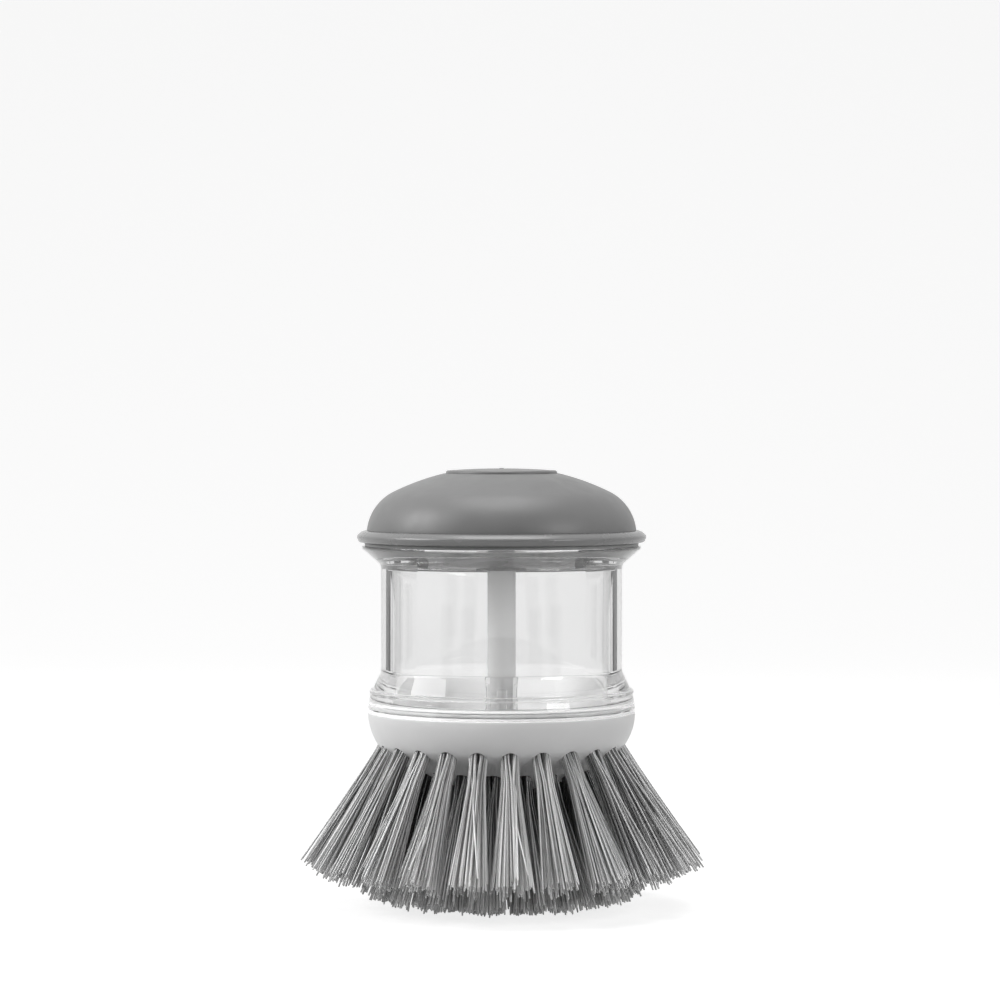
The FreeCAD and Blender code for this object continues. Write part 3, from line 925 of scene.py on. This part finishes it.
    def routes(self, ring: TuftRing, dice: random.Random) -> list[tuple[list[Vector], float]]:
        """The way each filament of a ring runs, from its fold in the hole to its cut end.

        Args:
            ring: The ring of tufts.
            dice: Seeded random numbers.

        Returns:
            For each filament its points in millimetres and its shade.
        """
        found = []
        for number in range(ring.count):
            mouth, along, across, sideways = self.axes(ring, number)
            along = along + across * dice.gauss(0.0, self.lean_error)
            along = (along + sideways * dice.gauss(0.0, self.sway_error)).normalized()
            length = (mouth.z - ring.tip_height) / -along.z
            spread = ring.tip_radius * dice.uniform(*self.spread_error)
            tuft_shade = dice.uniform(-self.tuft_shade, self.tuft_shade)
            for index in range(ring.filaments):
                size = sqrt((index + 0.5) / ring.filaments)
                angle = index * self.golden_angle + dice.uniform(-0.2, 0.2)
                root = Vector((cos(angle), sin(angle))) * self.root_radius * size
                stray = dice.random() < self.stray_share
                fan = spread * size ** self.fan_power * dice.uniform(*self.fan_error)
                fan *= self.stray_reach if stray else 1.0
                clumped = angle - self.clumping * sin(self.clumps * angle) / self.clumps
                swing = clumped + dice.gauss(0.0, self.stray_swing if stray else self.swing_error)
                tip = Vector((fan * cos(swing), fan * sin(swing)))
                bow = dice.gauss(0.0, self.bow_error)
                cut = length + min(dice.gauss(*self.cut_error), self.longest)
                cut -= (self.stray_short if stray else 0.0) * dice.random()
                room = (mouth.z + across.z * tip.x - self.ground) / -along.z
                cut = min(cut, room - dice.uniform(0.0, 0.25))
                points = []
                inner = [cut * share for share in self.stations]
                for far in (-self.root_depth, 0.3, *inner, cut - self.end_length, cut):
                    share = max(0.0, (far - self.fold) / (cut - self.fold))
                    slit = self.slit * max(0.0, 1.0 - max(far, 0.0) / self.slit_length)
                    u = root.x + (tip.x - root.x) * share ** 1.1 + bow * sin(pi * share)
                    v = root.y + copysign(slit, root.y) + (tip.y - root.y) * share ** 1.1
                    points.append(mouth + along * far + across * u + sideways * v)
                shade = dice.gauss(*self.strand_shade) + tuft_shade
                found.append((points, min(1.0, max(0.0, shade))))
        return found

    def bristles(self, ring: TuftRing, strand: Piece, seed: int) -> Piece:
        """Copy the filament along every route of a ring.

        Args:
            ring: The ring of tufts.
            strand: The filament.
            seed: Start of the random numbers.

        Returns:
            One piece with all the ring's filaments.
        """
        shape = np.array([point.co for point in strand.data.vertices])
        level = np.rint(shape[:, 2]).astype(int)
        faces = [list(face.vertices) for face in strand.data.polygons]
        spots, corners, shades = [], [], []
        # painted shade darkens the roots of the middle and inner rings; the paler cut ends are the filaments'
        # own tone
        painted_shade_and_pale_tips = np.array(self.painted_shade_fade) * ring.painted_root_shade + np.array(self.tip_fade)
        for points, shade in self.routes(ring, random.Random(seed)):
            path = np.array(points)
            ahead = np.gradient(path, axis=0)
            ahead /= np.linalg.norm(ahead, axis=1)[:, None]
            side = np.cross(ahead, (0.0, 0.0, 1.0))
            side /= np.linalg.norm(side, axis=1)[:, None]
            rise = np.cross(side, ahead)
            start = len(spots) * len(shape)
            spots.append(path[level] + shape[:, :1] * side[level] + shape[:, 1:2] * rise[level])
            corners.extend([corner + start for corner in face] for face in faces)
            shades.append(np.clip(shade + painted_shade_and_pale_tips[level], 0.0, 1.0))
        mesh = bpy.data.meshes.new(f"{ring.name}_bristles")
        mesh.from_pydata((np.concatenate(spots) * MM).tolist(), [], corners)
        mesh.attributes.new("shade", "FLOAT", "POINT").data.foreach_set("value", np.concatenate(shades))
        piece = bpy.data.objects.new(f"{ring.name}_bristles", mesh)
        bpy.context.scene.collection.objects.link(piece)
        hold(piece)
        edit_mode()
        select_mesh()
        bpy.ops.mesh.normals_make_consistent(inside=False)
        object_mode()
        bpy.ops.object.shade_smooth_by_angle(angle=radians(80))
        return piece

    def build(self) -> None:
        """Model and dress the bowl and its bristles."""
        bowl = self.bench.turn("white_bowl", self.section())
        length = self.hole_depth + self.hole_overrun
        pins = self.bench.pins(self.holes(), self.hole_radius, length, self.hole_sides)
        self.bench.combine(bowl, pins, Joining.CUT)
        dress(bowl, self.finishes.white, Slot.WHITE, Body.BRUSH, "base_block")
        strand = self.strand()
        for seed, ring in enumerate(self.rings, start=11):
            piece = self.bristles(ring, strand, seed)
            dress(piece, self.finishes.bristle, Slot.BRISTLE, Body.BRUSH, f"{ring.name}_tufts")
            repaint(f"{ring.name}_anchors", self.finishes.anchor)
        bpy.data.objects.remove(strand)
        room = self.groove_high - self.groove_low
        middle = Corner(self.groove + room / 2 - self.seal_shift, self.groove_low + room / 2)
        seal = self.bench.turn("bowl_seal", bead(middle, self.seal_radius))
        dress(seal, self.finishes.silicone, Slot.SILICONE, Body.BRUSH, "base_seal")
        bush = corners(
            (self.bush_bore, self.seat_floor, 0.2), (self.bush_radius, self.seat_floor, 0.2),
            (self.bush_radius, self.floor), (self.bush_flange, self.floor, 0.2),
            (self.bush_flange, self.bush_top, 0.4), (self.bush_bore, self.bush_top, 0.4),
        )
        seat = self.bench.turn("soft_bush", bush)
        dress(seat, self.finishes.silicone, Slot.SILICONE, Body.BRUSH, "valve_seat")


@dataclass
class Knob(Assembly):
    """The domed knob, the lid with its rim and hooks, and the spring between lid and button."""

    rim_under: float = 69.9
    rim_top: float = 72.1
    rim_radius: float = 27.7
    rim_edge: float = 71.1
    rim_slope: float = 1.2
    rim_undercut: float = 0.5
    dome_radius: float = 25.7
    dome_height: float = 12.2
    shoulder: float = 9.2
    tuck: float = 0.85
    wall: float = 2.0
    button_hole: float = 10.85
    hook_radius: float = 20.1
    hook_wall: float = 1.6
    hook_low: float = 66.5
    hook_root: float = 71.0
    lug_width: float = 0.65
    lug_low: float = 66.8
    lug_high: float = 67.6
    guide: float = 4.9
    guide_low: float = 66.9
    guide_high: float = 75.1
    rod_bore: float = 2.825
    groove: float = 4.1
    groove_low: float = 67.7
    groove_high: float = 69.1
    rod_seal: float = 0.65
    rod_seal_shift: float = 0.0625
    upstand: float = 22.758
    upstand_wall: float = 1.4
    upstand_high: float = 74.7
    spring_radius: float = 7.1
    wire_radius: float = 0.4
    wire_sides: int = 12
    turn_steps: int = 40
    spring_low: float = 72.55
    spring_high: float = 81.27
    spring_turns: int = 6
    press: float = 3.5

    def shell(self) -> list[Corner]:
        """The dome's half section: shoulder arc, crown arc, button hole and the same arcs inside.

        Returns:
            The corners from the foot over the top and back inside.
        """
        centre_r = self.dome_radius - sqrt(self.shoulder ** 2 - self.tuck ** 2)
        rise = self.dome_height + self.tuck
        crown = (centre_r ** 2 + rise ** 2 - self.shoulder ** 2) / (2 * (rise - self.shoulder))
        low = Corner(centre_r, self.rim_top - self.tuck)
        high = Corner(0.0, self.rim_top + self.dome_height - crown)
        meet = degrees(atan2(low.z - high.z, centre_r))

        def side(wall: float) -> list[Corner]:
            """One side of the shell, moved in by a wall.

            Args:
                wall: How far it lies inside the outer side.

            Returns:
                The corners from the foot to the button's hole.
            """
            foot = degrees(asin(self.tuck / (self.shoulder - wall)))
            edge = degrees(acos(self.button_hole / (crown - wall)))
            shoulder = arc(low, self.shoulder - wall, foot, meet, 18)
            return shoulder + arc(high, crown - wall, meet, edge, 12)[1:]

        outside, inside = side(0.0), side(self.wall)
        outside[0] = Corner(outside[0].r, outside[0].z, 0.06)
        outside[-1] = Corner(outside[-1].r, outside[-1].z, 0.22)
        return outside + inside[::-1]

    def lid(self) -> list[Corner]:
        """The lid's half section.

        Returns:
            The corners from the guide's foot round the rim and upstand and down the rod's bore.
        """
        return corners(
            (self.rod_bore, self.guide_low, 0.15), (self.guide, self.guide_low, 0.3),
            (self.guide, self.rim_under, 0.3),
            (self.rim_radius - self.rim_undercut, self.rim_under, 0.3),
            (self.rim_radius, self.rim_edge, 0.45),
            (self.rim_radius - self.rim_slope, self.rim_top, 0.5), (self.upstand, self.rim_top),
            (self.upstand, self.upstand_high, 0.2),
            (self.upstand - self.upstand_wall, self.upstand_high, 0.2),
            (self.upstand - self.upstand_wall, self.rim_top, 0.2), (self.guide, self.rim_top, 0.2),
            (self.guide, self.guide_high, 0.3), (self.rod_bore, self.guide_high, 0.15),
            (self.rod_bore, self.groove_high), (self.groove, self.groove_high),
            (self.groove, self.groove_low), (self.rod_bore, self.groove_low),
        )

    def spring(self) -> Piece:
        """The wound spring: a round of wire carried up the axis turn by turn.

        Returns:
            The spring.
        """
        hold()
        bpy.ops.mesh.primitive_circle_add(
            vertices=self.wire_sides, radius=self.wire_radius * MM, rotation=(pi / 2, 0, 0),
            location=(self.spring_radius * MM, 0, self.spring_low * MM))
        spring = bpy.context.object
        spring.name = "coil_spring"
        spring.data.name = "coil_spring"
        bpy.ops.object.transform_apply(location=True, rotation=True)
        wind = spring.modifiers.new("wind", "SCREW")
        wind.axis = "Z"
        wind.steps = self.turn_steps
        wind.render_steps = self.turn_steps
        wind.iterations = self.spring_turns
        wind.screw_offset = (self.spring_high - self.spring_low) / self.spring_turns * MM
        bpy.ops.object.modifier_apply(modifier=wind.name)
        edit_mode()
        for height in (self.spring_low, self.spring_high):
            spot = Vector((self.spring_radius * MM, 0, height * MM))
            pick(spring, lambda place: (place - spot).length < self.wire_radius * MM * 1.05)
            bpy.ops.mesh.edge_face_add()
        return self.bench.close_up(spring, 60.0)

    def build(self) -> None:
        """Model and dress the dome, the lid and the spring."""
        dome = self.bench.turn("knob_dome", self.shell())
        dress(dome, self.finishes.grip, Slot.GRIP, Body.KNOB, "knob_shell")
        lid = self.bench.turn("lid_and_rim", self.lid())
        inner = self.hook_radius - self.hook_wall
        hook = corners(
            (inner, self.hook_low), (self.hook_radius, self.hook_low),
            (self.hook_radius + self.lug_width, self.lug_low),
            (self.hook_radius + self.lug_width, self.lug_high), (self.hook_radius, self.lug_high),
            (self.hook_radius, self.hook_root), (inner, self.hook_root),
        )
        self.bench.combine(lid, self.bench.lugs("hooks", hook), Joining.WELD)
        dress(lid, self.finishes.rim, Slot.RIM, Body.KNOB, "lid")
        spring = self.spring()
        dress(spring, self.finishes.steel, Slot.STEEL, Body.KNOB, "return_spring")
        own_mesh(spring)
        across = (self.rod_bore + self.groove) / 2 - self.rod_seal_shift
        middle = Corner(across, (self.groove_low + self.groove_high) / 2)
        seal = self.bench.turn("rod_ring", bead(middle, self.rod_seal))
        dress(seal, self.finishes.silicone, Slot.SILICONE, Body.KNOB, "rod_seal")


@dataclass
class Plunger(Assembly):
    """The push button, its rod and the stopper on the rod's end."""

    crown_top: float = 83.92
    edge: float = 83.52
    radius: float = 10.6
    inside: float = 81.72
    skirt: float = 9.3
    flange_radius: float = 12.2
    flange_top: float = 80.351
    flange_under: float = 79.151
    socket: float = 2.75
    socket_wall: float = 1.5
    socket_top: float = 82.32
    rod_radius: float = 2.7
    rod_top: float = 82.27
    rod_low: float = 43.4
    pin_radius: float = 1.6
    pin_low: float = 30.05
    sleeve_radius: float = 3.2
    sleeve_low: float = 28.4
    sleeve_squeeze: float = 0.05
    collar_low: float = 38.3
    land_top: float = 30.6
    flute_radius: float = 1.1
    flute_place: float = 3.475
    flutes: int = 4
    flute_sides: int = 24
    gate_radius: float = 0.35
    gate_foot: float = 0.45
    gate_clear: float = 0.6
    gate_height: float = 0.12
    gate_edge: float = 0.1

    def button(self) -> list[Corner]:
        """The button's half section, with the small mark of the mould's gate on its crown.

        Returns:
            The corners from the top of the axis round the outside to the socket's roof.
        """
        rise = self.crown_top - self.edge
        crown = (self.radius ** 2 + rise ** 2) / (2 * rise)
        centre = Corner(0.0, self.crown_top - crown)
        first = 90 - degrees(self.gate_clear / crown)
        top = arc(centre, crown, first, degrees(acos(self.radius / crown)), 12)
        top[-1] = Corner(self.radius, self.edge, 0.35)
        outer = self.socket + self.socket_wall
        return corners(
            (0.0, self.crown_top + self.gate_height),
            (self.gate_radius, self.crown_top + self.gate_edge), (self.gate_foot, self.crown_top),
            *top, (self.radius, self.flange_top, 0.15), (self.flange_radius, self.flange_top, 0.2),
            (self.flange_radius, self.flange_under, 0.2), (self.skirt, self.flange_under, 0.15),
            (self.skirt, self.inside, 0.3), (outer, self.inside, 0.3),
            (outer, self.flange_under, 0.15), (self.socket, self.flange_under, 0.15),
            (self.socket, self.socket_top), (0.0, self.socket_top),
        )

    def rod(self) -> list[Corner]:
        """The rod's half section.

        Returns:
            The corners from the pin's end up to the top of the axis.
        """
        return corners(
            (0.0, self.pin_low), (self.pin_radius, self.pin_low, 0.2),
            (self.pin_radius, self.rod_low), (self.rod_radius, self.rod_low, 0.2),
            (self.rod_radius, self.rod_top, 0.3), (0.0, self.rod_top),
        )

    def sleeve(self) -> list[Corner]:
        """The stopper's half section, a sleeve that grips the pin.

        Returns:
            The corners from the foot of the axis round the outside and down the socket.
        """
        socket = self.pin_radius - self.sleeve_squeeze
        return corners(
            (0.0, self.sleeve_low), (self.sleeve_radius, self.sleeve_low, 0.3),
            (self.sleeve_radius, self.rod_low, 0.3), (socket, self.rod_low), (socket, self.pin_low),
            (0.0, self.pin_low),
        )

    def flute_places(self) -> list[tuple[Vector, Euler]]:
        """Where the pins that cut the stopper's flutes stand.

        Returns:
            The middle of each pin in millimetres, and its turn.
        """
        middle = (self.land_top + self.collar_low) / 2
        turns = [tau * number / self.flutes for number in range(self.flutes)]
        reach = self.flute_place
        return [(Vector((cos(t) * reach, sin(t) * reach, middle)), Euler()) for t in turns]

    def build(self) -> None:
        """Model and dress the button, the rod and the stopper."""
        button = self.bench.turn("crowned_button", self.button(), closed=False)
        dress(button, self.finishes.grip, Slot.GRIP, Body.PLUNGER, "push_button")
        rod = self.bench.turn("rod_and_pin", self.rod(), closed=False)
        dress(rod, self.finishes.rod, Slot.ROD, Body.PLUNGER, "push_rod")
        sleeve = self.bench.turn("clear_sleeve", self.sleeve(), closed=False)
        length = self.collar_low - self.land_top
        pins = self.bench.pins(self.flute_places(), self.flute_radius, length, self.flute_sides)
        self.bench.combine(sleeve, pins, Joining.CUT)
        sleeve.visible_shadow = False
        dress(sleeve, self.finishes.sleeve, Slot.SILICONE, Body.PLUNGER, "valve_stopper")


@dataclass(frozen=True)
class SoftBox:
    """One broad soft lamp: where it stands, how large it is and how strong."""

    name: str
    place: tuple[float, float, float]
    size: float
    power: float


@dataclass
class Studio:
    """A pale sweep, dark cards, soft lamps and the camera of the photograph."""

    target: tuple[float, float, float] = (0.0, 0.0, 0.045)
    camera_place: tuple[float, float, float] = (-0.0003, -0.715, 0.0935)
    pitch: float = 1.25
    lens: float = 135.0
    ambient: float = 0.19
    white: float = 0.95
    sweep_size: float = 3.0
    sweep_rise: float = 2.0
    sweep_bend: float = 0.8
    card_angle: float = 34.0
    card_distance: float = 0.6
    card_width: float = 0.14
    card_height: float = 0.13
    flag_distance: float = 0.85
    flag_size: float = 2.6
    lamps: tuple[SoftBox, ...] = (
        SoftBox("key_box", (-0.68, -0.14, 0.46), 0.45, 4.0),
        SoftBox("fill_box", (0.58, -0.48, 0.33), 0.30, 1.7),
        SoftBox("top_box", (0.00, -0.05, 0.80), 0.50, 3.2),
    )

    def sweep(self) -> None:
        """The floor that runs up into a backdrop in one curve."""
        hold()
        bpy.ops.mesh.primitive_plane_add(size=self.sweep_size)
        floor = bpy.context.object
        floor.name = "pale_sweep"
        back = self.sweep_size / 3
        edit_mode()
        pick(floor, lambda place: place.y > back)
        bpy.ops.mesh.extrude_region_move(TRANSFORM_OT_translate={"value": (0, 0, self.sweep_rise)})
        pick(floor, lambda place: place.y > back and place.z < self.sweep_rise / 2)
        bpy.ops.mesh.bevel(offset=self.sweep_bend, segments=24, affect="EDGES")
        object_mode()
        bpy.ops.object.shade_smooth_by_angle(angle=radians(SMOOTH_ANGLE))
        floor.data.materials.append(StudioPaper("pale_floor", 0.66, 0.655, 0.80).material())

    def card(self, name: str, size: tuple[float, float], distance: float, turn: float, seen: SeenBy) -> Piece:
        """Stand a dark card upright, which neither the camera sees nor a lamp.

        Args:
            name: Name of the card.
            size: Width and height in metres.
            distance: Distance from the axis.
            turn: Its angle round the axis in degrees, from behind the brush.
            seen: What shows it.

        Returns:
            The card, which has no paper yet.
        """
        around = radians(turn)
        place = (sin(around) * distance, cos(around) * distance, size[1] / 2)
        hold()
        bpy.ops.mesh.primitive_plane_add(size=1.0, location=place, rotation=(pi / 2, 0, -around))
        card = bpy.context.object
        card.name = name
        card.scale = (*size, 1.0)
        bpy.ops.object.transform_apply(location=True, rotation=True, scale=True)
        card.visible_camera = False
        card.visible_diffuse = False
        card.visible_shadow = False
        card.visible_glossy = seen is SeenBy.GLOSS
        card.visible_transmission = seen is SeenBy.CLEAR
        return card

    def cards(self) -> None:
        """Stand cards all round for dark lines along clear edges, and one in front for calm gloss."""
        size = (self.card_width, self.card_height)
        turns = [side + way * self.card_angle for side in (0.0, 90.0, 180.0, 270.0) for way in (1, -1)]
        stood = [self.card(f"dark_card_{number}", size, self.card_distance, turn, SeenBy.CLEAR)
                 for number, turn in enumerate(turns)]
        size = (self.flag_size, self.flag_size)
        stood.append(self.card("dark_flag", size, self.flag_distance, 180.0, SeenBy.GLOSS))
        paper = StudioPaper("dark_card", 0.2, 0.18).material()
        for card in stood:
            card.data.materials.append(paper)

    def world(self) -> None:
        """Even light from all round, which shows white to the camera and in reflections."""
        world = bpy.data.worlds.new("studio_air")
        bpy.context.scene.world = world
        world.use_nodes = True
        air = Wiring(world.node_tree)
        level = air.node("MapRange", Value=air.seen(), To_Min=self.ambient, To_Max=self.white)
        air.plug(air.first("BACKGROUND"), Color=grey(1.0), Strength=level.outputs["Result"])

    def light(self) -> None:
        """Set up the lamps."""
        for box in self.lamps:
            facing = (Vector(self.target) - Vector(box.place)).to_track_quat("-Z", "Y").to_euler()
            bpy.ops.object.light_add(type="AREA", location=box.place, rotation=facing)
            lamp = bpy.context.object
            lamp.name = box.name
            lamp.data.shape = "SQUARE"
            lamp.data.size = box.size
            lamp.data.energy = box.power

    def look(self) -> None:
        """Place the camera and the plain view."""
        level = radians(90.0 - self.pitch)
        bpy.ops.object.camera_add(location=self.camera_place, rotation=(level, 0, 0))
        camera = bpy.context.object
        camera.name = "photo_camera"
        camera.data.lens = self.lens
        camera.data.sensor_width = 36.0
        camera.data.clip_start = 0.01
        scene = bpy.context.scene
        scene.camera = camera
        scene.view_settings.view_transform = "Standard"

    def build(self) -> None:
        """Set up the whole studio."""
        self.sweep()
        self.cards()
        self.world()
        self.light()
        self.look()


def main() -> None:
    """Build the studio and every sub-assembly."""
    logging.basicConfig(level=logging.INFO, format="%(name)s: %(message)s")
    Studio().build()
    bench, finishes = Workbench(), Finishes.mix()
    for assembly in (Reservoir, BrushHead, Knob, Plunger):
        assembly(bench, finishes).build()


if __name__ == "__main__":
    main()
